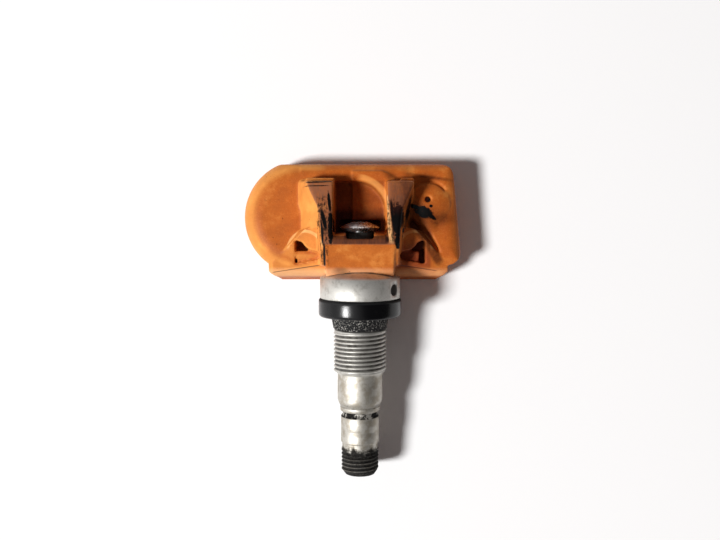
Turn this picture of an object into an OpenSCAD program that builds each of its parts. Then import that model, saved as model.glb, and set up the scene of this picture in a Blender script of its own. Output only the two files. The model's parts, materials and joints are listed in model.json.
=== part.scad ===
// Tyre pressure sensor: a moulded housing with a clamp-in valve stem.
// The housing lies on its flat base, its front looks along -Y, and the stem leaves it there.
// X = 0 is the stem's centre plane, and Y = 0 is half way between the housing's front and back.

/* [Housing] */
// Depth of the housing from its front flange to its back edge
housing_depth = 24; // [23.5:0.25:26]
// Radius of the round battery end, seen from above
end_radius = 12; // [11.5:0.25:13]
// Distance from the centre plane to the centre of the round end
end_offset = 12.2; // [12:0.1:13.5]
// Distance from the centre plane to the square end
square_end = 20.7; // [20:0.1:22]
// Height of the low body
body_height = 9; // [8.6:0.1:10]
// Height of the rib crests beside the bridge
crest_height = 16.5; // [16:0.1:18]
// Wall thickness of the moulding
wall = 1.2; // [1:0.05:1.4]
// Radius of the rounded top edge
edge_radius = 3.2; // [2:0.1:3.6]
// Thickness of the flat base cover
cover_thickness = 1; // [0.8:0.1:1.2]

/* [Screw well] */
// Half width of the well between the ribs
well_half_width = 5.2; // [4.8:0.1:5.6]
// Height of the well's floor above the base
well_floor = 7; // [6.8:0.1:7.6]
// Thickness of the back wall behind the well
well_back_wall = 3.7; // [3:0.1:4.5]

/* [Seat and tilt] */
// Height of the tilt centre above the base
tilt_height = 7.3; // [7:0.1:8]
// Radius of the spherical seat on the front of the bridge
seat_radius = 24; // [22:0.5:26]
// How far the seat lies behind the front flange
seat_depth = 2.1; // [1.8:0.1:2.6]
// Thickness of the bridge along the stem's axis
bridge_thickness = 8.1; // [7.6:0.1:8.6]
// Downward slope of the stem as it lies, in degrees
droop = 4.8; // [4:0.1:5.5]
// How far the stem can be tilted up from there, in degrees
tilt_up = 5; // [3:0.5:5]
// How far the stem can be tilted down from there, in degrees
tilt_down = 1.5; // [0.5:0.5:1.5]

/* [Stem] */
// Diameter of the collar that seats on the bridge
collar_d = 16.4; // [15.5:0.1:16.8]
// Height of the collar's cylinder
collar_height = 4.2; // [3.8:0.1:5]
// Diameter of the hole in the collar's side
side_hole_d = 2.5; // [2:0.1:3]
// Direction of that hole, from straight up towards the square end, in degrees
side_hole_angle = 57; // [20:1:80]
// Diameter of the neck in the bridge's slot
neck_d = 5.4; // [5:0.1:5.6]
// Outer diameter of the main thread
main_thread_d = 10.9; // [10:0.1:11.2]
// Length of the main thread
main_thread_length = 9.2; // [7:0.1:11]
// Diameter of the plain shank
shank_d = 9.3; // [8.8:0.1:9.6]
// Length of the plain shank
shank_length = 6.1; // [4:0.1:8]
// Diameter of the lower shank
lower_d = 7.9; // [7.8:0.05:8.2]
// Length of the lower shank
lower_length = 6.9; // [5:0.1:8]
// Outer diameter of the end thread
end_thread_d = 7.7; // [7.6:0.05:7.8]
// Length of the end thread with its chamfer
end_thread_length = 5.3; // [4.5:0.1:6]
// Length of the relief before the end thread
relief_length = 1.4; // [1:0.1:1.8]
// Diameter of the air channel
channel_d = 3; // [2:0.1:3.2]

/* [Rim seal] */
// How far the rubber seal's flange stands out beyond the collar
seal_lip = 0.3; // [0:0.05:0.4]
// Height of the seal's flange
seal_height = 3.75; // [3:0.05:4.5]
// Diameter at the start of the seal's cone
seal_cone_d = 12; // [11.4:0.1:13]
// Length of the seal's cone
seal_cone_length = 2.6; // [2:0.1:3.2]
// Diameter of the stem under the seal
seal_bore_d = 10; // [9:0.1:10.4]

/* [Clamp screw] */
// Diameter of the screw's head
head_d = 8.1; // [7.6:0.1:8.2]
// Height of the screw's head
head_height = 2; // [1.8:0.1:2.2]
// Outer diameter of the screw's thread
screw_d = 3.9; // [3.5:0.1:4]
// Length of the screw's thread
screw_length = 7; // [5:0.1:7.2]

/* [Valve core] */
// Diameter of the core's bore in the stem
core_d = 5.2; // [5:0.05:5.4]
// Length of the core's barrel
core_length = 6.6; // [6:0.1:7]
// Diameter of the core's pin
pin_d = 1.4; // [1.2:0.05:1.5]
// Travel of the pin
pin_travel = 1.2; // [0.8:0.1:1.4]
// Thickness of the spring's wire
spring_wire = 0.28; // [0.2:0.02:0.3]
// Number of turns of the spring
spring_turns = 5; // [4:1:7]

/* [Electronics] */
// Thickness of the circuit board
board_thickness = 0.8; // [0.6:0.1:1]
// Diameter of the coin cell
cell_d = 16; // [15:0.1:16.2]
// Height of the coin cell
cell_height = 3.2; // [2.5:0.1:3.2]
// Thickness of the cell's welded strips
strip_thickness = 0.15; // [0.1:0.05:0.2]
// Side of the pressure sensor's package
package_side = 5; // [4.5:0.1:5.4]
// Height of the pressure sensor's package
package_height = 1.8; // [1.4:0.1:2]
// Diameter of the port hole
port_d = 1.3; // [1:0.1:1.6]
// Outer diameter of the soft ring under the port
port_seal_d = 4; // [3.6:0.1:4.4]
// Length of the wake-up coil
coil_length = 7; // [6:0.1:7.4]

/* [Hidden] */

$fn = 64;
cut = 0.01;
seat_gap = 0.05;
slot_gap = 0.1;
far = 60;

// Housing
front_y = -housing_depth / 2;
back_y = housing_depth / 2;
end_y = back_y + edge_radius / 3 - end_radius;
corner_r = 2.8;
flange_x = 18.2;
flange_height = 6.2;
end_edge = 4.4;
back_round = 2.6;
valley_depth = 1.1;
skew = 3.5;

// Tilt centre, seat and slot
tilt_y = front_y + seat_depth - seat_radius;
inner_radius = seat_radius + bridge_thickness;
angle_max = droop + tilt_down;
angle_min = droop - tilt_up;
slot_w = neck_d + 2 * slot_gap;
slot_half = neck_d / 2 + slot_gap;

// Bridge, in the plane of X = 0
bridge_front_y = front_y + seat_depth - 0.25;
ramp_bottom_z = tilt_height + seat_radius * sin(angle_max) + slot_half + 0.45;
crest_front_y = front_y + 7.05;
crest_back_y = crest_front_y + 1.1;
crest_drop = 2.6;
bridge_back_y = tilt_y + inner_radius;

// Ribs and window pads
rib_round = 0.5;
rib_back_y = front_y + 19.3;
rib_waist_y = front_y + 14.2;
rib_front_y = front_y + 7.6;
rib_front_z = crest_height - rib_round;
rib_back_z = crest_height - 2.6;
rib_waist_z = crest_height - 1.7;
rib_ledge_x = 10.9;
arch_x = 11.2;
arch_r = 3.9;
pad_back_y = front_y + 10.2;
pad_top = crest_height - 4.3;
pad_slope = 25.9;
pad_tilt = 10.2;
pad_step = 0.25;

// Screw well
well_back_y = back_y - well_back_wall;
well_corner_r = 6.4;
well_corner = [well_half_width - well_corner_r, well_back_y - well_corner_r];
rim_round = 1.5;
plate_rise = 0.3;
channel_x = -1.6;
channel_depth = 0.5;
head_under = sqrt(pow(inner_radius, 2) - pow(slot_w / 2, 2)) + 0.03;
head_top = head_under + head_height;
head_clear = 0.3;
pocket_front_y = bridge_back_y - 3;
pocket_back_y = tilt_y + head_top + head_clear;
pocket_z = tilt_height + head_top * sin(angle_min);

// Stem stations along its axis, measured outwards from the tilt centre
dome_radius = seat_radius - seat_gap;
collar_start = -sqrt(pow(dome_radius, 2) - pow(collar_d / 2, 2));
collar_end = collar_start + collar_height;
seal_end = collar_end + seal_height;
cone_end = seal_end + seal_cone_length;
seal_d = collar_d + 2 * seal_lip;
main_end = cone_end + main_thread_length;
shank_end = main_end + shank_length;
groove_d = lower_d - 0.6;
relief_d = end_thread_d - 0.34;
ring_d = lower_d + 0.4;
taper_end = shank_end + 0.8;
ring_end = taper_end + 1;
groove_end = ring_end + 1.1;
lower_end = groove_end + lower_length;
tip = lower_end + end_thread_length;
neck_end = -(head_under - 0.25);
tip_chamfer = 0.8;
screw_tip = -(head_under - screw_length);
channel_end = collar_start - 0.4;
side_hole_at = (collar_start + collar_end) / 2 + 0.1;

// Valve core stations
core_top = tip - 0.8;
core_bottom = core_top - core_length;
core_cone = 1.6;
core_neck_d = core_d - 1.2;
cup_d = core_neck_d - 0.4;
cup_height = 1.5;
cup_chamber = cup_height + pin_travel + 1;
spring_bore_d = pin_d + 1.1;
guide_length = 1.6;
pin_gap = 0.08;
spring_low = core_bottom + guide_length;
pin_collar_d = spring_bore_d - 0.3;
pin_collar_height = 0.4;
pin_collar_at = core_top - pin_collar_height - 0.6;
pin_top = core_top + 0.4;

// Inside the housing
board_top = cover_thickness + 0.4 + board_thickness;
shoulder = 0.8;
board_gap = 0.1;
cell_x = -(end_offset + 2.1);
cell_y = end_y + 1.5;
cell_z = board_top + strip_thickness;
cell_gap = 0.15;
chamber_top = cell_z + cell_height + strip_thickness + 0.15;
strip_w = 2;
strip_angle = 40;
strip_reach = cell_d / 2 + 1.3;
port_x = 13.9;
port_y = back_y - 7.55;
port_dome_r = 4.6;
port_dome_rise = 1.3;
dome_y = port_y - 0.8;
right_top = body_height - wall - valley_depth;
right_front_y = front_y + 9.6;
right_low_x = 7.2;
package_top = board_top + package_height;
filter_thickness = 0.2;
filter_d = port_seal_d - 0.8;
seal_bore = port_seal_d - 1.6;
middle_top = well_floor - wall;
middle_front_y = pocket_back_y + 0.9;
coil_x = -0.6;
coil_y = back_y - wall - shoulder - 3.1;

function arc(cx, cy, r, a0, a1, n = 10) =
    [for (i = [0:n]) [cx + r * cos(a0 + (a1 - a0) * i / n), cy + r * sin(a0 + (a1 - a0) * i / n)]];

// Point on a ray from the tilt centre, in the plane of Y and Z
function ray(r, angle, up = 0) =
    [tilt_y + r * cos(angle) - up * sin(angle), tilt_height + r * sin(angle) + up * cos(angle)];

// Turns a profile drawn in Y and Z into a bar along X, from x0 to x1
module along_x(x0, x1) {
    translate([x0, 0, 0]) rotate([90, 0, 90]) linear_extrude(x1 - x0) children();
}

// Turns a profile drawn in X and Z into a bar along Y, from y0 to y1
module along_y(y0, y1) {
    translate([0, y1, 0]) rotate([90, 0, 0]) linear_extrude(y1 - y0) children();
}

// Puts a piece drawn on the stem's own axis into its place: its +Z points out of the housing
module on_stem_axis() {
    translate([0, tilt_y, tilt_height]) rotate([90 + droop, 0, 0]) children();
}

// Outline of the low body, seen from above, drawn inwards by inset
module body_plan(inset = 0) {
    r = end_radius - inset;
    front = front_y + 1.5 + inset;
    back = back_y - inset;
    // In a deeper body the round end stops short of the front, and its arc ends at its foremost point
    front_angle = asin(min(1, (end_y - front) / r));
    polygon(concat(
        arc(-end_offset, end_y, r, 180 - asin((back - end_y) / r), 180 + front_angle, 36),
        arc(square_end + 0.2 - corner_r, front_y + 3 + corner_r, corner_r - inset, -80, -5),
        arc(square_end - 1.3 - corner_r, back_y - corner_r, corner_r - inset, 5, 90)));
}

// Front flange, seen from above
module flange_plan() {
    polygon([[-flange_x - 0.8, front_y + 3.4], [-flange_x - 0.8, front_y + 1.6], [-flange_x + 1.4, front_y],
             [flange_x - 1.8, front_y], [flange_x - 0.4, front_y + 1.2], [flange_x, front_y + 3.7],
             [0, front_y + 8]]);
}

// Side profile of a moulding with a rounded upper back edge
module side_profile(height, radius) {
    translate([-far / 2, 0]) square([far / 2 + back_y - radius, height]);
    square([back_y, height - radius]);
    translate([back_y - radius, height - radius]) circle(radius);
}

module battery_end() {
    intersection() {
        translate([-end_offset, end_y, 0]) rotate_extrude() {
            square([end_radius - end_edge, body_height]);
            square([end_radius, body_height - end_edge]);
            intersection() {
                translate([end_radius - end_edge, body_height - end_edge]) circle(end_edge);
                square(end_radius);
            }
        }
        along_x(-far, far) side_profile(body_height, back_round);
    }
}

module square_block() {
    intersection() {
        linear_extrude(body_height) difference() {
            body_plan();
            translate([-end_offset - far, -far]) square([far, 2 * far]);
        }
        along_x(-far, far) side_profile(body_height, back_round);
        rotate([0, 0, skew]) along_y(-far, far) {
            translate([-far, 0]) square([far + square_end - edge_radius, far]);
            square([square_end, body_height - edge_radius]);
            translate([square_end - edge_radius, body_height - edge_radius]) circle(edge_radius);
        }
        along_x(-far, far) polygon([[-far, 0], [front_y + 2, 0], [front_y + 2, 5.6], [front_y + 3, 7.5],
                                    [front_y + 4.6, 8.5], [front_y + 6.5, body_height],
                                    [far, body_height], [far, -1], [-far, -1]]);
    }
}

// Low ground between the right rib, its window pad and the diagonal ridge
module valley() {
    translate([0, 0, body_height - valley_depth]) linear_extrude(far)
        polygon([[9, rib_waist_y + 0.8], [11.4, rib_waist_y], [15.2, front_y + 8.8], [17.4, front_y + 4],
                 [12, front_y + 4], [9, front_y + 9]]);
}

// Space under the sloping plane of a window pad, lowered by drop
module under_pad_plane(side, drop = 0) {
    translate([side * arch_x, pad_back_y, pad_top - drop]) rotate([pad_slope, side * pad_tilt, 0])
        translate([-far, -far, -2 * far]) cube(2 * far);
}

// Front flange with its sloping face, a small step below the pads
module flange() {
    for (side = [-1, 1]) intersection() {
        linear_extrude(far) intersection() {
            flange_plan();
            translate([side < 0 ? -far : 0, -far]) square([far, 2 * far]);
        }
        under_pad_plane(side, pad_step);
        along_x(-far, far) polygon([[front_y, 0], [front_y + 0.3, 1.2],
                                    [front_y + 0.8, flange_height - 0.8],
                                    [front_y + 1.4, flange_height + 0.4],
                                    [front_y + 3.4, flange_height + 2.6],
                                    [front_y + 6, flange_height + 2.6], [0, 0]]);
    }
}

// Mirrors a list of points to the given side: -1 is the battery end and 1 the square end
function on_side(side, points) = [for (p = points) [side * p[0], p[1]]];

// Sloping pad round one window, with an arched back and a step down to the flange
module window_pad(side) {
    intersection() {
        linear_extrude(far) polygon(on_side(side, concat(
            [[6.5, front_y + 3.3], [8.4, front_y + 3], [flange_x + 0.1, front_y + 1.6],
             [flange_x, front_y + 3.6], [arch_x + 4.1, front_y + 7.5]],
            arc(arch_x, pad_back_y - arch_r, arch_r, 25, 80),
            [[10.3, pad_back_y + 0.3], [7, pad_back_y + 0.3], [7, front_y + 4.7]])));
        under_pad_plane(side);
        // The outer side leans inwards
        translate([side * flange_x, front_y + 3.6, 0]) rotate([0, 0, side * 37.5]) along_y(-far, far)
            polygon(on_side(side, [[-far, 0], [1.2, 0], [0.7, flange_height - 0.8], [-1.7, pad_top + 0.5],
                                   [-far, pad_top + 0.5]]));
    }
}

// Window: three-cornered, with a hollow long side
module window_plan(side) {
    difference() {
        polygon(on_side(side, [[13.3, front_y + 8.2], [13.5, front_y + 3.3], [8.7, front_y + 4.1],
                               [7.9, front_y + 4.8], [9.4, front_y + 6.9]]));
        translate([side * 8.9, front_y + 9.1]) circle(3.2);
    }
}

module window_cut(side) {
    floor_z = chamber_top + 0.8;
    difference() {
        translate([0, 0, floor_z - 1.2]) linear_extrude(far) window_plan(side);
        translate([-far / 2, front_y + 6.2, 0]) cube([far, far, floor_z]);
        // Tongue in the lower half of the window, just under the pad's slope
        translate([side < 0 ? -10.5 : 10.1, 0, 0]) along_x(side < 0 ? -2.4 : -2.1, 2.1) polygon([
            [front_y + 3.65, 0], [front_y + 3.65, pad_top - 4.8], [front_y + 4.1, pad_top - 3.9],
            [front_y + 5.4, pad_top - 3], [front_y + 5.75, pad_top - 3.1], [front_y + 5.95, pad_top - 3.5],
            [front_y + 5.95, 0]]);
    }
}

// Rounded solid between points beside the centre plane, given for the square end
module rib_solid(side, points) {
    hull() for (p = points) translate([side * p[0], p[1], p[2]]) sphere(rib_round, $fn = 20);
}

// One rib: side is -1 on the battery end and 1 on the square end
module rib(side) {
    low = body_height - 2;
    foot = side < 0 ? 12.7 : 10.6;
    middle_foot = side < 0 ? 12.6 : 10.1;
    middle_y = pad_back_y + rib_round + 0.05;
    // Broad back part, its crest falling to the back
    rib_solid(side, [[5.8, rib_back_y, rib_back_z], [10.3, rib_back_y, rib_back_z],
                     [5.8, rib_waist_y, rib_waist_z], [8, rib_waist_y, rib_waist_z],
                     [5.8, rib_back_y + 0.8, low], [foot, rib_back_y + 0.8, low],
                     [6.2, rib_waist_y, low], [foot, rib_waist_y, low]]);
    // Middle part, up to the window pad's arch
    rib_solid(side, [[5.85, rib_waist_y + 0.4, rib_waist_z - 0.12],
                     [8, rib_waist_y + 0.4, rib_waist_z - 0.12],
                     [5.85, middle_y, rib_front_z - 0.55], [7.65, middle_y, rib_front_z - 0.55],
                     [6.25, rib_waist_y + 0.4, low], [foot - 0.05, rib_waist_y + 0.4, low],
                     [6.25, middle_y, low], [middle_foot, middle_y, low]]);
    // Narrow front part, which runs down beside the ramp
    rib_solid(side, [[5.9, middle_y + 0.3, rib_front_z - 0.65], [7.6, middle_y + 0.3, rib_front_z - 0.65],
                     [5.9, rib_front_y, rib_front_z], [7.4, rib_front_y, rib_front_z],
                     [6.7, front_y + 3.4, rib_front_z - 3.3], [7.4, front_y + 3.4, rib_front_z - 3.3],
                     [6.8, front_y + 2.8, flange_height - 0.2], [8.1, front_y + 3.2, flange_height - 0.2],
                     [6.3, middle_y + 0.3, low], [9, middle_y + 0.3, low]]);
    // Ledge behind the crest
    ledge_x = side < 0 ? -rib_ledge_x : rib_ledge_x - 2.6;
    translate([ledge_x, rib_back_y - 1, body_height - 1])
        cube([side < 0 ? rib_ledge_x - well_half_width : 2.6, 2.3, rib_back_z - body_height - 0.4]);
}

// Bridge between the ribs: ramp in front, narrow crest, convex back
module bridge() {
    intersection() {
        along_x(-6.9, 6.9) polygon([[front_y, 0], [front_y, ramp_bottom_z - 1.2],
                                    [bridge_front_y, ramp_bottom_z], [crest_front_y, crest_height],
                                    [crest_back_y, crest_height],
                                    [bridge_back_y - 0.2, crest_height - crest_drop],
                                    [bridge_back_y + 2, 0]]);
        translate([0, tilt_y, tilt_height]) sphere(inner_radius, $fn = 128);
    }
}

// Port dome with a crescent groove on its back side
module port_dome() {
    sphere_r = (pow(port_dome_r, 2) + pow(port_dome_rise, 2)) / (2 * port_dome_rise);
    intersection() {
        translate([port_x, dome_y, body_height + port_dome_rise - sphere_r]) rotate([90, 0, 0])
            sphere(sphere_r);
        translate([port_x, dome_y, body_height - 2]) cylinder(h = far, r = port_dome_r);
    }
}

module crescent() {
    translate([port_x, dome_y, body_height + 0.1]) rotate([0, 0, 35])
        rotate_extrude(angle = 110) translate([port_dome_r, 0]) circle(0.42, $fn = 24);
}

// Rounded ridge that crosses the square end from the port to the front corner
module diagonal_ridge() {
    from = [14, front_y + 12.8, body_height - 2.3];
    to = [square_end - 3.7, front_y + 6.1, body_height - 3.8];
    hull() {
        translate(from) sphere(3, $fn = 40);
        translate(to) sphere(2.8, $fn = 40);
    }
}

// Raised plate at the back edge, with a slanting right side
module back_plate() {
    translate([0, 0, body_height - 1]) linear_extrude(1 + plate_rise) intersection() {
        body_plan(edge_radius / 2);
        polygon([[channel_x, far], [channel_x, 0], [well_half_width, well_back_y - 2.3],
                 [7.8, well_back_y + 0.2], [2.6, back_y - 0.3], [0, far]]);
    }
}

module well_plan() {
    intersection() {
        translate([-well_half_width, crest_front_y + 2])
            square([2 * well_half_width, well_back_y - crest_front_y - 2]);
        union() {
            translate(well_corner) circle(well_corner_r);
            translate([-far, -far]) square([far + well_corner[0], 2 * far]);
            translate([-far, -far]) square([2 * far, far + well_corner[1]]);
        }
    }
}

// Space swept by the neck between the two tilt limits
module neck_slot() {
    along_x(-slot_w / 2, slot_w / 2) polygon([
        ray(seat_radius - 4, angle_min, -slot_half), ray(inner_radius + 1.5, angle_min, -slot_half),
        ray(inner_radius + 1.5, angle_max, slot_half), ray(seat_radius - 4, angle_max, slot_half)]);
    // The slot is open at the top of the bridge's back
    translate([-slot_w / 2, crest_back_y, crest_height - 5]) cube([slot_w, 4, 6]);
}

module head_pocket() {
    pocket_r = head_d / 2 + head_clear;
    along_y(pocket_front_y, pocket_back_y)
        polygon(concat(arc(0, pocket_z, pocket_r, 180, 360, 24), [[pocket_r, far], [-pocket_r, far]]));
}

// Everything behind the bridge's convex back, where the well is
module well() {
    difference() {
        union() {
            translate([0, 0, well_floor]) linear_extrude(far) well_plan();
            translate([-well_half_width, 0, well_floor - channel_depth])
                cube([channel_x + well_half_width, well_back_y, channel_depth + cut]);
            head_pocket();
        }
        translate([0, tilt_y, tilt_height]) sphere(inner_radius, $fn = 128);
    }
}

// Rounds the well's rim along its large back corner
module well_rim() {
    rim_z = body_height + plate_rise - rim_round;
    translate([well_corner[0], well_corner[1], rim_z]) rotate_extrude(angle = 90)
        difference() {
            translate([well_corner_r - 0.6, 0]) square([rim_round + 0.5, 2 * rim_round]);
            translate([well_corner_r + rim_round - 0.15, 0]) circle(rim_round);
        }
}

// Hollow for the board, the cell and the small parts
module cavity() {
    translate([0, 0, -cut]) linear_extrude(board_top + cut) cavity_plan(wall);
    inner_back_y = back_y - wall - shoulder;
    middle_x = cell_x + 9.2;
    translate([cell_x, cell_y, board_top - cut])
        cylinder(h = chamber_top - board_top + cut, r = cell_d / 2 + cell_gap);
    // Corner pocket for the upper strip's leg
    translate([cell_x, cell_y, board_top - cut]) rotate([0, 0, strip_angle])
        translate([strip_reach - 2, -strip_w / 2 - 0.4, 0])
            cube([2.3, strip_w + 0.8, chamber_top - board_top + cut]);
    translate([right_low_x, right_front_y, board_top - cut])
        cube([square_end - 2.6 - right_low_x, inner_back_y - right_front_y, right_top - board_top + cut]);
    translate([middle_x, middle_front_y, board_top - cut])
        cube([right_low_x - middle_x + cut, inner_back_y - middle_front_y, middle_top - board_top + cut]);
}

// Outline of the hollow, clear of the bridge
module cavity_plan(inset) {
    difference() {
        body_plan(inset);
        translate([-far / 2, -far]) square([far, far + front_y + 4]);
    }
}

module port_passage() {
    translate([port_x, port_y, board_top]) cylinder(h = far, d = port_d);
    translate([port_x, port_y, board_top])
        cylinder(h = right_top + filter_thickness - board_top, d = filter_d);
}

module housing() {
    color("orange") difference() {
        union() {
            battery_end();
            difference() {
                square_block();
                valley();
            }
            flange();
            for (side = [-1, 1]) {
                window_pad(side);
                rib(side);
            }
            bridge();
            port_dome();
            diagonal_ridge();
            back_plate();
        }
        translate([0, tilt_y, tilt_height]) sphere(seat_radius, $fn = 128);
        neck_slot();
        well();
        for (side = [-1, 1]) window_cut(side);
        crescent();
        well_rim();
        cavity();
        port_passage();
    }
}

module base_cover() {
    color("darkorange") linear_extrude(cover_thickness) cavity_plan(wall);
}

module circuit_board() {
    color("darkgreen") translate([0, 0, board_top - board_thickness]) linear_extrude(board_thickness)
        cavity_plan(wall + board_gap);
}

module battery() {
    can = cell_height * 0.72;
    color("lightgray") translate([cell_x, cell_y, cell_z]) {
        cylinder(h = can, d = cell_d);
        cylinder(h = cell_height, d = cell_d - 2);
    }
}

module battery_tab_positive() {
    top = cell_z + cell_height;
    color("silver") translate([cell_x, cell_y, 0]) rotate([0, 0, strip_angle]) {
        translate([-2, -strip_w / 2, top]) cube([strip_reach + 2, strip_w, strip_thickness]);
        translate([strip_reach - strip_thickness, -strip_w / 2, board_top])
            cube([strip_thickness, strip_w, top - board_top + cut]);
    }
}

module battery_tab_negative() {
    color("silver") translate([cell_x - strip_w / 2, cell_y - 0.3 * cell_d, board_top])
        cube([strip_w, 0.6 * cell_d, strip_thickness]);
}

module pressure_sensor() {
    color("dimgray") translate([port_x - package_side / 2, port_y - package_side / 2, board_top])
        difference() {
            cube([package_side, package_side, package_height]);
            translate([package_side / 2, package_side / 2, package_height - 0.5]) cylinder(h = 1, d = port_d);
        }
}

module port_seal() {
    color("white") translate([port_x, port_y, package_top]) difference() {
        cylinder(h = right_top - package_top, d = port_seal_d);
        translate([0, 0, -cut]) cylinder(h = far, d = seal_bore);
    }
}

module port_filter() {
    color("ghostwhite") translate([port_x, port_y, right_top]) cylinder(h = filter_thickness, d = filter_d);
}

module coil_core() {
    color("black") translate([coil_x - coil_length / 2, coil_y, board_top]) {
        translate([0, -0.8, 0.5]) cube([coil_length, 1.6, 1.4]);
        for (x = [0, coil_length - 1.2]) translate([x, -1.3, 0]) cube([1.2, 2.6, 2.4]);
    }
}

module coil_winding() {
    color("chocolate") translate([coil_x - coil_length / 2 + 1.2, coil_y, board_top + 1.2]) rotate([0, 90, 0])
        difference() {
            cube([2.2, 2.4, 2 * (coil_length - 2.4)], center = true);
            cube([1.4, 1.6, 3 * coil_length], center = true);
            translate([0, 0, -coil_length]) cube(2 * coil_length, center = true);
        }
}

module antenna() {
    loop_x = right_low_x + 0.8;
    loop_y = right_front_y + 0.8;
    loop_w = square_end - 4.4 - loop_x;
    loop_l = port_y - package_side / 2 - 0.8 - loop_y;
    color("gold") translate([loop_x, loop_y, board_top]) {
        difference() {
            translate([0, 0, 2.2]) cube([loop_w, loop_l, 0.3]);
            translate([0.9, 0.9, 2]) cube([loop_w - 1.8, loop_l - 1.8, 1]);
        }
        for (x = [0, loop_w - 0.3]) translate([x, 0, 0]) cube([0.3, 0.9, 2.3]);
    }
}

module crystal() {
    color("silver") translate([right_low_x + 1, back_y - wall - shoulder - 3.2, board_top])
        cube([2.4, 2.6, 1]);
}

module capacitors() {
    color("tan") for (i = [0:4])
        translate([right_low_x + 5.4 + 1.1 * i, back_y - wall - shoulder - 0.9, board_top])
            cube([0.8, 0.5, 0.5]);
}

// Chamfered thread cylinder from a to b
module thread_blank(a, b, d, chamfer_a, chamfer_b) {
    rotate_extrude() polygon([[0, a], [d / 2 - chamfer_a, a], [d / 2, a + chamfer_a], [d / 2, b - chamfer_b],
                              [d / 2 - chamfer_b, b], [0, b]]);
}

module valve_stem() {
    color("gainsboro") on_stem_axis() difference() {
        union() {
            intersection() {
                sphere(dome_radius, $fn = 128);
                translate([0, 0, -seat_radius]) cylinder(h = seat_radius + collar_end, d = collar_d);
            }
            translate([0, 0, neck_end]) cylinder(h = collar_start - neck_end, d = neck_d);
            translate([0, 0, collar_end]) cylinder(h = cone_end - collar_end, d = seal_bore_d);
            thread_blank(cone_end, main_end, main_thread_d, 0.2, 0.5);
            translate([0, 0, main_end]) cylinder(h = shank_length, d = shank_d);
            translate([0, 0, shank_end]) cylinder(h = taper_end - shank_end, d1 = shank_d, d2 = ring_d);
            translate([0, 0, taper_end]) cylinder(h = ring_end - taper_end, d1 = ring_d, d2 = ring_d - 0.3);
            translate([0, 0, ring_end]) cylinder(h = groove_end - ring_end, d = groove_d);
            translate([0, 0, groove_end]) cylinder(h = lower_length - relief_length, d = lower_d);
            translate([0, 0, lower_end - relief_length]) cylinder(h = relief_length, d = relief_d);
            thread_blank(lower_end, tip, end_thread_d, 0.1, tip_chamfer);
        }
        translate([0, 0, neck_end - cut]) cylinder(h = screw_tip - neck_end + cut, d = screw_d);
        translate([0, 0, channel_end]) cylinder(h = tip - channel_end, d = channel_d);
        translate([0, 0, side_hole_at]) rotate([90, 0, 180 - side_hole_angle])
            cylinder(h = collar_d, d = side_hole_d);
        translate([0, 0, core_bottom - cup_chamber])
            cylinder(h = tip - core_bottom + cup_chamber, d = core_neck_d);
        translate([0, 0, core_bottom]) cylinder(h = core_cone, d1 = core_neck_d, d2 = core_d);
        translate([0, 0, core_bottom + core_cone]) cylinder(h = far, d = core_d);
    }
}

module rim_seal() {
    flange_r = seal_d / 2;
    soft = 0.6;
    color("black") on_stem_axis() rotate_extrude() {
        polygon([[seal_bore_d / 2, collar_end], [flange_r - soft, collar_end], [flange_r, collar_end + soft],
                 [flange_r, seal_end - soft], [flange_r - soft, seal_end], [seal_cone_d / 2, seal_end],
                 [main_thread_d / 2, cone_end], [seal_bore_d / 2, cone_end]]);
    }
}

module clamp_screw() {
    bevel = 0.7;
    cap = head_height - bevel;
    cap_sphere = (pow(head_d / 2, 2) + pow(cap, 2)) / (2 * cap);
    recess = 1.3;
    color("silver") on_stem_axis() rotate([180, 0, 0]) difference() {
        union() {
            translate([0, 0, head_under - screw_length]) cylinder(h = screw_length + cut, d = screw_d);
            translate([0, 0, head_under]) cylinder(h = bevel, r1 = head_d / 2 - bevel, r2 = head_d / 2);
            intersection() {
                translate([0, 0, head_top - cap_sphere]) sphere(cap_sphere);
                translate([0, 0, head_under + bevel]) cylinder(h = far, d = head_d);
            }
        }
        translate([0, 0, head_top - recess]) {
            cylinder(h = recess + 1, r = 1.4);
            for (i = [0:5]) rotate([0, 0, 60 * i]) translate([1.45, 0, 0]) cylinder(h = recess + 1, r = 0.42);
        }
    }
}

module core_body() {
    color("goldenrod") on_stem_axis() difference() {
        union() {
            translate([0, 0, core_bottom]) cylinder(h = core_length - 1, d = core_neck_d - 0.6);
            translate([0, 0, core_bottom + core_cone + 0.5])
                cylinder(h = core_length - core_cone - 1.5, d = core_d);
            // Two flats for the core key
            intersection() {
                translate([0, 0, core_top - 1]) cylinder(h = 1, d = core_d - 0.4);
                translate([0, 0, core_top]) cube([2.6, core_d, 2], center = true);
            }
        }
        translate([0, 0, core_bottom - cut]) cylinder(h = far, d = pin_d + 2 * pin_gap);
        translate([0, 0, spring_low]) cylinder(h = far, d = spring_bore_d);
    }
}

module core_seal_ring() {
    bore_r = core_neck_d / 2 - 0.3;
    color("red") on_stem_axis() rotate_extrude()
        polygon([[bore_r, core_bottom + 0.1], [core_neck_d / 2 - 0.02, core_bottom + 0.1],
                 [core_d / 2 - 0.04, core_bottom + core_cone],
                 [core_d / 2 - 0.04, core_bottom + core_cone + 0.5],
                 [bore_r, core_bottom + core_cone + 0.5]]);
}

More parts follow.
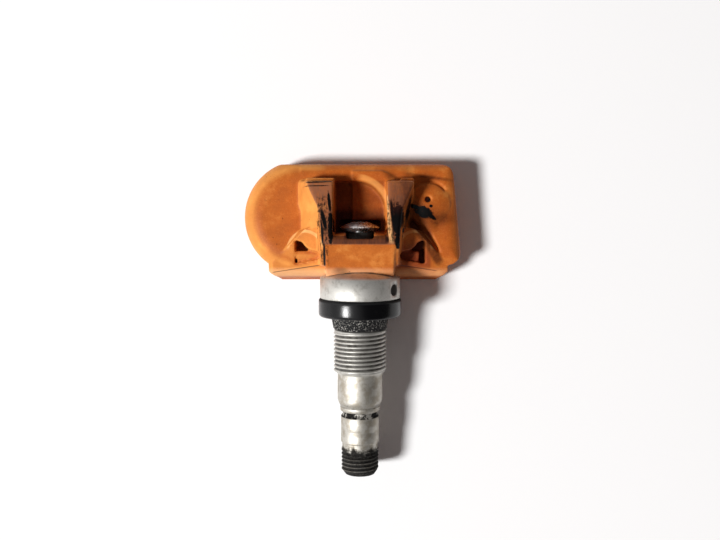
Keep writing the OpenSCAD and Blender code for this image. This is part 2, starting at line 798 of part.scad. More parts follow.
// Spring: a round wire swept along a helix
module core_spring() {
    steps = 14 * spring_turns;
    sides = 6;
    coil_r = (pin_d + spring_bore_d) / 4;
    low = spring_low + spring_wire / 2 + 0.01;
    high = pin_collar_at - spring_wire / 2 - 0.01;
    rise = high - low;
    points = [for (i = [0:steps], j = [0:sides - 1])
        let (a = 360 * spring_turns * i / steps, b = 360 * j / sides, r = coil_r + spring_wire / 2 * cos(b))
        [r * cos(a), r * sin(a), low + rise * i / steps + spring_wire / 2 * sin(b)]];
    walls = [for (i = [0:steps - 1], j = [0:sides - 1])
        [i * sides + j, i * sides + (j + 1) % sides, (i + 1) * sides + (j + 1) % sides, (i + 1) * sides + j]];
    ends = [[for (j = [0:sides - 1]) sides - 1 - j], [for (j = [0:sides - 1]) steps * sides + j]];
    color("lightsteelblue") on_stem_axis() polyhedron(points, concat(walls, ends));
}

module core_pin() {
    color("whitesmoke") on_stem_axis() {
        translate([0, 0, core_bottom - cup_height - 0.3])
            cylinder(h = pin_top - core_bottom + cup_height + 0.3, d = pin_d);
        translate([0, 0, core_bottom - cup_height - 0.3]) cylinder(h = 0.3, d = cup_d);
        translate([0, 0, pin_collar_at]) cylinder(h = pin_collar_height, d = pin_collar_d);
    }
}

module core_cup() {
    color("black") on_stem_axis() translate([0, 0, core_bottom - cup_height]) difference() {
        cylinder(h = cup_height - 0.03, d1 = cup_d, d2 = cup_d - 0.3);
        translate([0, 0, -cut]) cylinder(h = far, d = pin_d);
    }
}

housing();
base_cover();
circuit_board();
battery();
battery_tab_positive();
battery_tab_negative();
pressure_sensor();
port_seal();
port_filter();
coil_core();
coil_winding();
antenna();
crystal();
capacitors();
valve_stem();
rim_seal();
clamp_screw();
core_body();
core_seal_ring();
core_spring();
core_pin();
core_cup();
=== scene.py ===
# A used tyre pressure sensor: a moulded orange housing with an aluminium valve stem clamped into it.
import json
import math

import bmesh
import bpy
from mathutils import Matrix, Vector


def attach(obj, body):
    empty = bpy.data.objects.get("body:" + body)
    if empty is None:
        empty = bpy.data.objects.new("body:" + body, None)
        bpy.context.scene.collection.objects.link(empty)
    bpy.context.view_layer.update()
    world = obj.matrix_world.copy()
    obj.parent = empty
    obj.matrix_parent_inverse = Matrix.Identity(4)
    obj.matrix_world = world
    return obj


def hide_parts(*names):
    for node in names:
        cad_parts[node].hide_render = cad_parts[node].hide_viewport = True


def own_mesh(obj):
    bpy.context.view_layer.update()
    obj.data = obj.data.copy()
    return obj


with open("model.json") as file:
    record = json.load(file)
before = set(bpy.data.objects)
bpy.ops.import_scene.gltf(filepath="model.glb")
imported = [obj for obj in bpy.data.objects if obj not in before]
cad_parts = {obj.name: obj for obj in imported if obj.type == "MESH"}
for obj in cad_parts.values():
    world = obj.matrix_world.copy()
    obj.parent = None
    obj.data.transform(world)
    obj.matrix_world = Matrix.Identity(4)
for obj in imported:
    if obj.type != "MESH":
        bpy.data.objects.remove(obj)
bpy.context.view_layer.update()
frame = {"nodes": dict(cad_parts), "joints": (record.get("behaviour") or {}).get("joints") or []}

# Housing
# One moulding in orange glass-filled plastic. It comes out of its mould with small soft edges,
# and the wheel has left it with scuffed crests, black rubber smears and dirt. Its finish also carries
# painted shade in the well, by the ribs and under the pads, and painted highlights on its lit slopes and
# edges.
MM = 0.001
POINT_GAP = 0.002 * MM
RAGGED = 1.3  # How far grit moves the edge of a mark, as a share of the mark's size


def mesh_of(name, shape):
    """The mesh that a bmesh describes."""
    mesh = bpy.data.meshes.new(name)
    shape.to_mesh(mesh)
    shape.free()
    return mesh


def joined_copy(node):
    """A mesh of its own with a solid's shape, its loose triangles joined."""
    shape = bmesh.new()
    shape.from_mesh(frame["nodes"][node].data)
    bmesh.ops.remove_doubles(shape, verts=shape.verts, dist=POINT_GAP)
    return mesh_of(node + "_shape", shape)


def place_piece(name, mesh, body, finish, slot, *nodes):
    """Puts a finished mesh in the scene, on its body, in place of the solids that it stands for."""
    piece = bpy.data.objects.new(name, mesh)
    bpy.context.scene.collection.objects.link(piece)
    mesh.materials.clear()
    mesh.materials.append(finish)
    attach(piece, body)
    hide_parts(*nodes)
    return piece


def with_modifiers(mesh, steps):
    """The mesh after these modifiers, each a kind and its settings."""
    holder = bpy.data.objects.new("holder", mesh)
    bpy.context.scene.collection.objects.link(holder)
    for kind, settings in steps:
        modifier = holder.modifiers.new(kind.lower(), kind)
        for setting, value in settings.items():
            setattr(modifier, setting, value)
    bpy.context.view_layer.update()
    seen = holder.evaluated_get(bpy.context.evaluated_depsgraph_get())
    made = bpy.data.meshes.new_from_object(seen)
    bpy.data.objects.remove(holder)
    return made


class Shade:
    """A number, colour or direction in a finish, with arithmetic that adds its nodes."""

    def __init__(self, tree, socket=None):
        self.tree = tree
        self.socket = socket

    def node(self, kind, settings=None, inputs=None, output=0):
        made = self.tree.nodes.new(kind)
        for setting, value in (settings or {}).items():
            setattr(made, setting, value)
        for name, value in (inputs or {}).items():
            if isinstance(value, Shade):
                self.tree.links.new(value.socket, made.inputs[name])
            else:
                made.inputs[name].default_value = value
        return Shade(self.tree, made.outputs[output])

    def math(self, operation, first, second=0.0):
        return self.node("ShaderNodeMath", {"operation": operation}, {0: first, 1: second})

    def __add__(self, other):
        return self.math("ADD", self, other)

    def __radd__(self, other):
        return self.math("ADD", other, self)

    def __sub__(self, other):
        return self.math("SUBTRACT", self, other)

    def __rsub__(self, other):
        return self.math("SUBTRACT", other, self)

    def __mul__(self, other):
        return self.math("MULTIPLY", self, other)

    def __rmul__(self, other):
        return self.math("MULTIPLY", other, self)

    def __truediv__(self, other):
        return self.math("DIVIDE", self, other)

    def __pow__(self, other):
        return self.math("POWER", self, other)

    def at_most(self, limit):
        return self.math("MINIMUM", self, limit)

    def at_least(self, other):
        return self.math("MAXIMUM", self, other)

    def hypot(self, other):
        """The distance from a centre, for the offsets from it along two axes."""
        return (self * self + other * other) ** 0.5

    def axis(self, which):
        return self.node("ShaderNodeSeparateXYZ", None, {0: self}, "XYZ".index(which))

    def rise(self, low, high):
        """0 below low and 1 above high, with a soft step between."""
        limits = {"Value": self, "From Min": low, "From Max": high}
        return self.node("ShaderNodeMapRange", {"interpolation_type": "SMOOTHSTEP"}, limits)

    def within(self, low, high, soft):
        """1 between low and high, 0 outside, with soft edges."""
        return self.rise(low - soft, low + soft) * (1 - self.rise(high - soft, high + soft))

    def noise(self, size, detail, roughness, seed=0.0):
        """Uneven values between 0 and 1 over a place in millimetres, with features of that size."""
        shift = self.node("ShaderNodeVectorMath", {"operation": "ADD"}, {0: self, 1: (seed, seed, seed)})
        return self.node("ShaderNodeTexNoise", None,
                         {"Vector": shift, "Scale": 1 / size, "Detail": detail, "Roughness": roughness})

    def stretched(self, x, y, z):
        """The place with its axes stretched, for grain that runs one way."""
        return self.node("ShaderNodeVectorMath", {"operation": "DIVIDE"}, {0: self, 1: (x, y, z)})

    def turned(self, centre, angles):
        """The place seen from a centre and turned, so that its X runs along a mark."""
        return self.node("ShaderNodeMapping", {"vector_type": "TEXTURE"},
                         {"Vector": self, "Location": centre, "Rotation": angles})

    def over(self, under, top):
        """Colour top laid over colour under, where this mask is 1."""
        return self.node("ShaderNodeMix", {"data_type": "RGBA"}, {0: self, 6: under, 7: top}, 2)

    def bump(self, strength, distance):
        """Surface normals for these heights, with the height of a full step in metres."""
        inputs = {"Height": self, "Strength": strength, "Distance": distance}
        return self.node("ShaderNodeBump", None, inputs)


def new_finish(name, constants):
    """A material, its surface shader, and the place on the object in millimetres."""
    finish = bpy.data.materials.new(name)
    finish.use_nodes = True
    surface = finish.node_tree.nodes["Principled BSDF"]
    for socket, value in constants.items():
        surface.inputs[socket].default_value = value
    spot = Shade(finish.node_tree).node("ShaderNodeTexCoord", output=3)
    place = spot.node("ShaderNodeVectorMath", {"operation": "SCALE"}, {0: spot, "Scale": 1 / MM})
    return finish, surface, place


def set_looks(finish, surface, looks):
    """Joins what varies over the surface to the shader."""
    for socket, value in looks.items():
        finish.node_tree.links.new(value.socket, surface.inputs[socket])


def colour(red, green, blue):
    """A colour as a screen shows it, from 0 to 255, in the scale that light adds in."""
    return tuple((part / 255 / 12.92) if part < 10 else ((part / 255 + 0.055) / 1.055) ** 2.4
                 for part in (red, green, blue)) + (1.0,)


def smear(place, grit, x, y, length, width, turn, soft=0.25):
    """Mask of a mark with ragged ends: its centre, half length and half width in millimetres."""
    local = place.turned((x, y, 0), (0, 0, math.radians(turn)))
    reach = (local.axis("X") / length).hypot(local.axis("Y") / width) + (grit - 0.5) * RAGGED
    return 1 - reach.rise(0.95 - soft, 0.95 + soft)


orange = colour(190, 95, 32)
orange_pale = colour(250, 174, 90)
orange_deep = colour(146, 66, 28)
# Pale orange, used only for a painted highlight on the front of the flange
orange_front_highlight = colour(255, 204, 156)
orange_bright = colour(255, 196, 132)
orange_rim = colour(255, 200, 130)
rubber_black = colour(6, 5, 5)
scuffed = colour(144, 94, 68)
# Dark brown for dirt and stains, and also for painted shade in the well, the valley, the windows and the
# creases
dirt_and_shade_brown = colour(58, 22, 14)
# Dull red, used for painted shade on the right pad and in the windows
red_shade = colour(128, 52, 34)

housing_finish, surface, place = new_finish("orange_housing", {"Specular IOR Level": 0.1})
x, y, z = (place.axis(letter) for letter in "XYZ")
upward = place.node("ShaderNodeNewGeometry", output=1).axis("Z")
above_base = z.rise(4.0, 6.0)
at_crest = z.rise(13.5, 14.5)
right = x.rise(-1, 1)
cloud = place.noise(4.0, 4.0, 0.6)
grit = place.noise(0.7, 4.0, 0.7, 3.0)
fibre = place.noise(0.22, 3.0, 0.6, 9.0)
streak = place.stretched(0.35, 2.2, 2.2).noise(1.0, 4.0, 0.65, 5.0)

tone = (cloud.rise(0.4, 0.75) * 0.5).over(orange, orange_deep)
tone = ((1 - cloud).rise(0.5, 0.75) * 0.35).over(tone, orange_pale)
tone = (fibre.rise(0.5, 0.75) * 0.2).over(tone, orange_pale)
tone = (grit.rise(0.54, 0.75) * 0.45).over(tone, orange_deep)

# Painted highlight: the slopes of the pads and the flanks of the ribs are painted paler, most on the
# battery end, which faces the lamp, and so is the front band of the flange, most at the left
slope_highlight = (1 - x.rise(-8.5, -6.5) * 0.8) * (0.12 + (1 - upward.rise(0.8, 0.99)) * 0.88) * z.rise(3.5, 6)
tone = (slope_highlight * (0.3 + (1 - cloud) * 0.5)).over(tone, orange_pale)
front_highlight = (1 - y.rise(-10.4, -9.2)) * z.rise(2.0, 6.0) * (1 - x.rise(-2, 9) * 0.5)
tone = (front_highlight * (0.25 + grit * 0.4)).over(tone, orange_front_highlight)

# The crests of the ribs and the bridge are scuffed brown
crest = z.rise(12.2, 14.0) * upward.rise(0.45, 0.97) * y.rise(-5.3, -4.8)
worn = crest * (0.1 + streak * 0.9 + cloud * 0.5) * (0.5 + grit * 0.8)
tone = worn.rise(0.1, 1.0).over(tone, scuffed)
bridge_top = x.within(-5.4, 5.4, 0.2) * y.within(-4.9, -3.2, 0.15) * at_crest
tone = (bridge_top * (0.45 + streak * 0.6)).over(tone, dirt_and_shade_brown)

# The well is dirty, and painted darker still at its left and its front, as the shade that the left rib
# and the bridge cast into it
in_well = x.within(-5.1, 5.0, 0.25) * y.within(-3.4, 8.3, 0.3) * (1 - z.rise(12.5, 14.5))
well_dirt_and_shade = 0.4 + 0.3 * (1 - x.rise(-1.9, -1.4)) + 0.4 * (1 - y.rise(1.5, 3.5))
tone = (in_well * well_dirt_and_shade * (0.7 + 0.5 * grit)).over(tone, dirt_and_shade_brown)

# Painted shadow: the ground between the right rib and the ridge is painted dull and dark where the rib's
# shadow lies, and the right pad beside it is painted a dull red as shade
ground = place.turned((14.0, -3.6, 0), (0, 0, math.radians(-54)))
valley_shadow = ground.axis("X").within(-5.5, 5.6, 0.8) * ground.axis("Y").within(-1.7, 0.1, 0.45) * above_base
tone = (valley_shadow * (0.5 + grit * 0.5)).over(tone, dirt_and_shade_brown)
pad_shade = x.within(7.4, 14.6, 0.4) * y.within(-9.6, -2.0, 0.5) * (1 - z.rise(10.5, 12.0)) * above_base
tone = (pad_shade * (1 - valley_shadow) * (0.4 + grit * 0.5)).over(tone, red_shade)

# Inside the windows, under the slope of the pads, the plastic is painted redder and darker as shade, most
# in the right window, and darkest deep under the pads
pad_centre = (11.2, -1.8, 12.2)
pad_normal = (0.1593, -0.4368, 0.8854)
pad_x = x.math("ABSOLUTE", x) - pad_centre[0]
above_pad = pad_x * pad_normal[0] + (y - pad_centre[1]) * pad_normal[1]
above_pad = above_pad + (z - pad_centre[2]) * pad_normal[2]
window = pad_x.within(-3.6, 2.0, 0.1) * y.within(-9.2, -4.0, 0.2) * (1 - above_pad.rise(-0.75, -0.35))
tone = (window * (0.1 + right * 0.35 + grit * 0.4)).over(tone, red_shade)
lower = window * (1 - above_pad.rise(-2.6, -2.0))
tone = (lower * 0.7).over(tone, dirt_and_shade_brown)

# Painted highlights on the rim of the well and on the inner edge of the right rib, with a band of painted
# shade just inside that edge
rim_centre = (-1.2, 1.9)
rim_x = x - rim_centre[0]
rim_y = y - rim_centre[1]
rim = rim_x.hypot(rim_y).within(6.7, 7.9, 0.25) * rim_x.rise(0.4, 2.0) * rim_y.rise(0.0, 1.0)
tone = (rim * z.within(8.1, 9.6, 0.2) * (0.2 + cloud * 0.5)).over(tone, orange_pale)
edge = x + y * 0.12
bright = edge.within(5.25, 6.1, 0.12) * y.within(-4.6, 4.8, 0.4) * at_crest * upward.rise(0.2, 0.5)
tone = (bright * (0.3 + grit * 0.8)).over(tone, orange_bright)
shaded = (1 - edge.rise(5.15, 5.35)) * x.rise(4.9, 5.0) * y.within(-4.6, 4.8, 0.3) * at_crest
tone = (shaded * 0.8).over(tone, dirt_and_shade_brown)

# A painted highlight runs round the arch of each pad, fainter on the right
arch_middle = -5.7
arch_y = y - arch_middle
arch = pad_x.hypot(arch_y).within(3.25, 3.85, 0.12) * arch_y.rise(-0.5, 1.0) * upward.rise(0.5, 0.7)
tone = (arch * (1 - right * 0.6) * (0.3 + grit * 0.5)).over(tone, orange_rim)

# A fine line of painted shade where each pad steps down to the flange
for middle, turn, start, end in [(-13.4, 8.6, -4.8, 5.0), (13.4, -8.6, -5.0, 2.5)]:
    crease = place.turned((middle, -9.75, 0), (0, 0, math.radians(turn)))
    line = crease.axis("Y").within(-0.1, 0.06, 0.06) * crease.axis("X").within(start, end, 0.5)
    tone = (line * (0.5 + grit * 0.5)).over(tone, dirt_and_shade_brown)

# Brown stains: centre, half length, half width in millimetres, and turn in degrees
stains = [
    (9.5, 5.4, 1.2, 4.2, 0), (-3.9, -10.2, 1.4, 0.7, 0), (6.9, 8.9, 2.3, 0.9, -30),
    (12.8, 1.0, 4.6, 2.6, -20), (17.2, 0.6, 2.4, 1.4, 10), (15.0, 9.0, 4.5, 0.36, -8),
]
for stain in stains:
    stained = smear(place, cloud, *stain, 0.7) * upward.rise(0.3, 0.6)
    tone = (stained * (0.25 + grit * 0.6)).over(tone, dirt_and_shade_brown)

# Black rubber smears: centre, half length, half width in millimetres, and turn in degrees
smears = [
    (-5.8, -1.6, 3.6, 0.55, 91), (-6.1, 3.4, 2.2, 0.3, 96), (-7.2, 0.0, 2.2, 0.4, 104),
    (-7.5, -2.6, 2.4, 0.22, 94), (-7.1, -7.2, 2.6, 0.24, 90), (7.7, -0.4, 3.6, 1.35, 91),
    (7.5, -4.5, 1.3, 0.65, 95), (6.4, 1.2, 2.8, 0.3, 94), (9.7, 1.8, 3.6, 0.4, 78),
    (11.3, 2.9, 1.3, 0.45, -20), (13.1, 1.8, 2.0, 1.1, -22), (14.6, 1.0, 1.2, 0.42, -32),
    (12.8, 2.3, 1.2, 0.5, -30), (-8.2, 7.6, 2.8, 0.16, 2), (-8.6, 6.8, 2.6, 0.1, 1),
    (14.5, 3.1, 0.35, 0.3, 0),
]
marks = smear(place, grit, *smears[0])
for mark in smears[1:]:
    marks = marks.at_least(smear(place, grit, *mark))
marks = (marks * upward.rise(0.15, 0.4) * above_base * 1.5).at_most(1.0)
tone = marks.over(tone, rubber_black)

# Mottled scuffs beside the black ones: the rubber caught only on the high spots
scuffs = x.within(-8.6, -6.3, 0.3) * y.within(-9, 4.6, 0.8)
scuffs = scuffs + x.within(5.2, 6.9, 0.15) * y.within(-4.6, 4, 0.6)
high_spots = (grit * 0.6 + streak * 0.5).rise(0.48, 0.64)
mottle = scuffs * z.rise(9.5, 11.0) * upward.rise(0.1, 0.4) * high_spots
tone = (mottle * 0.85).over(tone, rubber_black)
bruise = x.within(6.2, 10.5, 0.8) * y.within(1.5, 7.6, 1.2) * z.rise(11.0, 13.0) * (0.1 + streak * 0.6)
tone = bruise.over(tone, dirt_and_shade_brown)

# Dark flecks, in loose groups
fleck = place.noise(0.35, 2.0, 0.5, 21.0).rise(0.68, 0.74)
group = place.noise(3.0, 2.0, 0.5, 31.0).rise(0.5, 0.6)
tone = (fleck * group * 0.7).over(tone, dirt_and_shade_brown)

gloss = 0.42 + cloud * 0.12 + worn * 0.2 - marks * 0.1 + in_well * 0.1
grain = (fibre * 0.5 + grit * 0.5 + streak * crest * 1.2).bump(0.35, 0.00006)
set_looks(housing_finish, surface, {"Base Color": tone, "Roughness": gloss, "Normal": grain})

housing_mesh = with_modifiers(joined_copy("housing"), [
    ("REMESH", {"mode": "VOXEL", "voxel_size": 0.25 * MM, "use_smooth_shade": True}),
    ("SMOOTH", {"factor": 0.5, "iterations": 3}),
])
place_piece("moulded_housing", housing_mesh, "housing_body", housing_finish, "housing_plastic", "housing")

# Base cover
# A flat plate in the same plastic, let into the underside and sealed there. It closes the hollow
# that holds the cell and the board.
def dress_node(node, finish):
    """Gives a solid that is seen as it is its finish."""
    frame["nodes"][node].data.materials.clear()
    frame["nodes"][node].data.materials.append(finish)


cover_finish, surface, place = new_finish("orange_cover", {"Roughness": 0.5})
cloud = place.noise(3.0, 4.0, 0.6)
grit = place.noise(0.4, 3.0, 0.6, 3.0)
tone = (cloud * 0.6).over(orange, orange_deep)
tone = (grit.rise(0.6, 0.75) * 0.4).over(tone, dirt_and_shade_brown)
set_looks(cover_finish, surface, {"Base Color": tone, "Normal": grit.bump(0.3, 0.00005)})
dress_node("base_cover", cover_finish)

# Valve stem
# One aluminium turning. Its domed collar seats in the housing, its neck takes the clamp screw,
# and both threads are cut on it. The end thread is black with old dirt.
tilt = next(joint for joint in frame["joints"] if joint["name"] == "valve_tilt")
press = next(joint for joint in frame["joints"] if joint["name"] == "core_press")
outwards = -Vector(press["axis"])
stem_turn = Vector((0, 0, 1)).rotation_difference(outwards).to_matrix().to_4x4()
stem_place = Matrix.Translation(Vector(tilt["pos_m"])) @ stem_turn
stem_centre = tuple(stem_place.translation / MM)
stem_angles = tuple(stem_place.to_euler())

# Radii and stations along the stem in millimetres, from the tilt centre towards the tip
dome_radius = 23.95
collar_radius = 8.2
neck_radius = 2.7
screw_hole_radius = 1.95
under_seal_radius = 5
core_bore_radius = 2.6
core_seat_radius = 2
channel_radius = 1.5
channel_end = -22.9
collar_end = -18.302
seal_end = -14.552
cone_end = -11.952
main_end = -2.752
shank_end = 3.348
taper_end = 4.148
ring_end = 5.148
groove_end = 6.248
lower_end = 13.148
tip = 18.448
neck_end = -31.758
screw_tip = -25.008
main_radius = 5.45
shank_radius = 4.65
lower_radius = 3.95
end_radius = 3.85
relief_radius = 3.68
ring_foot_radius = 3.95
groove_radius = 3.6
stem_pitch = 0.847
cap_pitch = 0.794
thread_step = 0.4
hole_radius = 1.25
hole_length = 9
hole_station = -20.302
hole_side = math.radians(123)
TURNED_GAP = 0.001 * MM
THIN_EDGE = 0.0001 * MM


def turned(profile, steps=128):
    """A closed turning about Z from its half section, given as radius and station in millimetres."""
    shape = bmesh.new()
    points = [shape.verts.new((radius * MM, 0, station * MM)) for radius, station in profile]
    for start, end in zip(points, points[1:]):
        shape.edges.new((start, end))
    bmesh.ops.spin(shape, geom=shape.verts[:] + shape.edges[:], axis=(0, 0, 1), cent=(0, 0, 0),
                   angle=2 * math.pi, steps=steps, use_merge=True)
    bmesh.ops.remove_doubles(shape, verts=shape.verts, dist=TURNED_GAP)
    bmesh.ops.dissolve_degenerate(shape, edges=shape.edges, dist=THIN_EDGE)
    bmesh.ops.recalc_face_normals(shape, faces=shape.faces)
    for face in shape.faces:
        face.smooth = True
    return shape


def softened(profile, radius):
    """The profile with each corner cut back twice by about that radius."""
    soft = [profile[0]]
    for before, corner, after in zip(profile, profile[1:], profile[2:]):
        back = Vector(before) - Vector(corner)
        on = Vector(after) - Vector(corner)
        if back.length < 2.2 * radius or on.length < 2.2 * radius or back.angle(on) > math.radians(160):
            soft.append(corner)
            continue
        near = Vector(corner) + back.normalized() * radius
        far = Vector(corner) + on.normalized() * radius
        middle = (near + far) / 2 * 0.5 + Vector(corner) * 0.5
        soft += [tuple(near), tuple(middle), tuple(far)]
    return soft + [profile[-1]]


def steps_between(start, end, count):
    """Points on a straight line, without its two ends."""
    return [(start[0] + (end[0] - start[0]) * i / count, start[1] + (end[1] - start[1]) * i / count)
            for i in range(1, count)]


def cut_thread(shape, start, end, radius, depth, pitch):
    """Cuts a right-handed thread into the cylinder of that radius between two stations."""
    for vertex in shape.verts:
        station = vertex.co.z / MM
        out = math.hypot(vertex.co.x, vertex.co.y) / MM
        if not start < station < end or out < radius - 1.5 * depth:
            continue
        turn = math.atan2(vertex.co.y, vertex.co.x) / (2 * math.pi)
        wave = abs(2 * ((station / pitch - turn) % 1) - 1)
        ease = min(1, (station - start) / pitch, (end - station) / pitch)
        cutting = depth * ease * min(1, max(0, wave * 1.5 - 0.25))
        scale = (out - cutting) / out
        vertex.co.x *= scale
        vertex.co.y *= scale


dome_rows = [(radius, -math.sqrt(dome_radius ** 2 - radius ** 2))
             for radius in (neck_radius, 4, 5.4, 6.8, collar_radius)]
head = [(0, screw_tip), (screw_hole_radius, screw_tip), (screw_hole_radius, neck_end),
        (neck_radius, neck_end)] + dome_rows
middle = [(collar_radius, collar_end), (under_seal_radius, collar_end), (under_seal_radius, cone_end),
          (main_radius - thread_step, cone_end), (main_radius, cone_end + thread_step)]
main_rows = steps_between(middle[-1], (main_radius, main_end - 0.5), 84)
after_main = [
    (main_radius, main_end - 0.5), (shank_radius + 0.05, main_end), (shank_radius, main_end + 0.4),
    (shank_radius - 0.03, main_end + 1.4), (shank_radius - 0.03, main_end + 1.5),
    (shank_radius, main_end + 1.6), (shank_radius, shank_end - 0.6), (shank_radius - 0.2, shank_end),
    (ring_foot_radius + 0.15, taper_end - 0.1), (ring_foot_radius, taper_end),
    (ring_foot_radius + 0.17, taper_end + 0.15), (ring_foot_radius + 0.13, ring_end - 0.1),
    (ring_foot_radius, ring_end), (groove_radius + 0.02, ring_end + 0.15),
    (groove_radius, groove_end - 0.25), (lower_radius - 0.05, groove_end),
    (lower_radius, groove_end + 0.1), (lower_radius, 9.15), (lower_radius - 0.06, 9.25),
    (lower_radius, 9.35), (lower_radius, 11.65), (relief_radius + 0.03, 11.75),
    (relief_radius, lower_end - 0.1), (end_radius, lower_end),
]
end_rows = steps_between((end_radius, lower_end), (end_radius, tip - 0.8), 46)
bore = [
    (end_radius, tip - 0.8), (end_radius - 0.75, tip), (core_bore_radius + 0.15, tip),
    (core_bore_radius, tip - 0.2), (core_bore_radius, 12.65), (core_seat_radius, 11.05),
    (core_seat_radius, 7.35), (channel_radius, 7.3), (channel_radius, channel_end), (0, channel_end),
]
stem = turned(head[:-1] + softened(head[-1:] + middle, 0.2) + main_rows + softened(after_main, 0.08)
              + end_rows + bore)
cut_thread(stem, cone_end + 0.1, main_end - 0.1, main_radius, 0.42, stem_pitch)
cut_thread(stem, lower_end, tip - 0.1, end_radius, 0.4, cap_pitch)

# The side hole meets the air channel: it points up and towards the square end
drill_rows = [(0, 0), (hole_radius, 0), (hole_radius, hole_length), (0, hole_length)]
drill = mesh_of("drill", turned(drill_rows, 48))
hole_place = (Matrix.Translation((0, 0, hole_station * MM)) @ Matrix.Rotation(hole_side, 4, "Z")
              @ Matrix.Rotation(math.radians(90), 4, "X"))
drill.transform(hole_place)
drill_piece = bpy.data.objects.new("drill", drill)
stem_mesh = with_modifiers(mesh_of("stem_turning", stem), [
    ("BOOLEAN", {"object": drill_piece, "operation": "DIFFERENCE", "solver": "EXACT"}),
])
bpy.data.objects.remove(drill_piece)
stem_mesh.transform(stem_place)
hole_place = stem_place @ hole_place
hole_centre = tuple(hole_place.translation / MM)
hole_angles = tuple(hole_place.to_euler())

aluminium = colour(210, 208, 202)
aluminium_dull = colour(128, 122, 112)
aluminium_grimy = colour(166, 158, 144)
# Near black for old dirt and pits, and also for painted shade in the side hole, the bore and the neck's
# slot
black_dirt_and_shade = colour(17, 15, 14)
thread_root_dark = colour(42, 38, 34)
stem_finish, surface, place = new_finish("turned_aluminium", {"Specular IOR Level": 0.25})
local = place.turned(stem_centre, stem_angles)
station = local.axis("Z")
radius = local.axis("X").hypot(local.axis("Y"))
lathe = local.stretched(30, 30, 0.1).noise(1.0, 3.0, 0.6)
haze = local.noise(1.6, 5.0, 0.65, 4.0)
grit = local.noise(0.35, 4.0, 0.75, 8.0)
smudge = local.noise(2.6, 5.0, 0.7, 17.0).rise(0.52, 0.68)
dull = haze.rise(0.45, 0.75) * 0.45 + lathe * 0.2 + grit.rise(0.55, 0.7) * 0.3
tone = dull.over(aluminium, aluminium_dull)
grimy = station.rise(main_end - 0.5, main_end + 0.5) * (0.35 + haze.rise(0.4, 0.65) * 0.65)
tone = grimy.over(tone, aluminium_grimy)

# Old dirt blackens the end thread, less so on its crests, which stay lighter as wear and as a painted
# highlight, and lies in the groove
# The side hole, the bore and the neck down in the bridge's slot are painted black as shade
end_dirt = (station + (haze - 0.5) * 4).rise(lower_end - 1.0, lower_end + 0.4) * (0.75 + grit * 0.45)
crest = radius.rise(end_radius - 0.14, end_radius - 0.02) * station.rise(lower_end + 1.2, lower_end + 2.2)
end_dirt = end_dirt - crest * grit.rise(0.35, 0.6) * 0.3
groove_dirt = station.within(ring_end + 0.05, groove_end + 0.1, 0.12) * haze.rise(0.4, 0.5)
ring_dirt = station.within(taper_end - 0.7, taper_end + 0.12, 0.15) * (0.25 + smudge * 0.6)
in_thread = station.rise(cone_end - 0.1, cone_end + 0.1)
in_thread = in_thread * (1 - station.rise(main_end - 0.7, main_end - 0.4))
# The roots of the main thread are painted darker
thread_root = (1 - radius.rise(main_radius - 0.36, main_radius - 0.08)) * in_thread * (0.55 + haze * 0.6)
drilled = place.turned(hole_centre, hole_angles)
hole_out = drilled.axis("X").hypot(drilled.axis("Y"))
in_hole = (1 - hole_out.rise(1.2, 1.32)) * (1 - radius.rise(7.95, 8.15)) * station.within(-22, -18.5, 0.1)
in_bore = (1 - radius.rise(2.5, 2.9)) * station.rise(0, 1)
in_slot = (1 - station.rise(-24.3, -23.7)) * (1 - radius.rise(2.7, 3.0)) * 0.9
stain = end_dirt
for dirty in (groove_dirt, in_hole, in_bore * 0.8, ring_dirt, in_slot):
    stain = stain.at_least(dirty)
stain = stain.at_most(1.0)
tone = thread_root.over(tone, thread_root_dark)
tone = stain.over(tone, black_dirt_and_shade)
gloss = 0.4 + haze * 0.1 + lathe * 0.1 + stain * 0.3
metal = 0.6 + station.rise(collar_end, cone_end) * 0.2 - stain * 0.55 - thread_root * 0.3
rough = (lathe * 0.6 + grit * 0.5).bump(0.5, 0.00005)
set_looks(stem_finish, surface,
          {"Base Color": tone, "Roughness": gloss, "Metallic": metal, "Normal": rough})
place_piece("turned_stem", stem_mesh, "stem_body", stem_finish, "stem_aluminium", "valve_stem")

# Rim seal
# A black rubber grommet pushed over the stem below the collar. Its cone fills the hole in the rim.
# The flange is smooth and shiny, and the cone is rough and full of road grit.
seal_radius = 8.5
seal_bore = 5.02
cone_base = 5.9
cone_tip = 5.5
seal_gap = 0.03
flange_rows = [
    (seal_bore, collar_end + seal_gap), (seal_radius - 0.6, collar_end + seal_gap),
    (seal_radius - 0.25, collar_end + 0.12), (seal_radius - 0.04, collar_end + 0.4),
    (seal_radius, collar_end + 0.8), (seal_radius, seal_end - 0.75), (seal_radius - 0.06, seal_end - 0.3),
    (seal_radius - 0.3, seal_end - 0.06), (seal_radius - 0.6, seal_end), (cone_base + 0.35, seal_end),
    (cone_base + 0.15, seal_end + 0.1), (cone_base, seal_end + 0.35),
]
cone_rows = steps_between(flange_rows[-1], (cone_tip, cone_end - 0.2), 10)
last_rows = [(cone_tip, cone_end - 0.2), (cone_tip - 0.1, cone_end - seal_gap),
             (seal_bore, cone_end - seal_gap), flange_rows[0]]
seal_mesh = mesh_of("seal_ring", turned(flange_rows + cone_rows + last_rows))
seal_mesh.transform(stem_place)

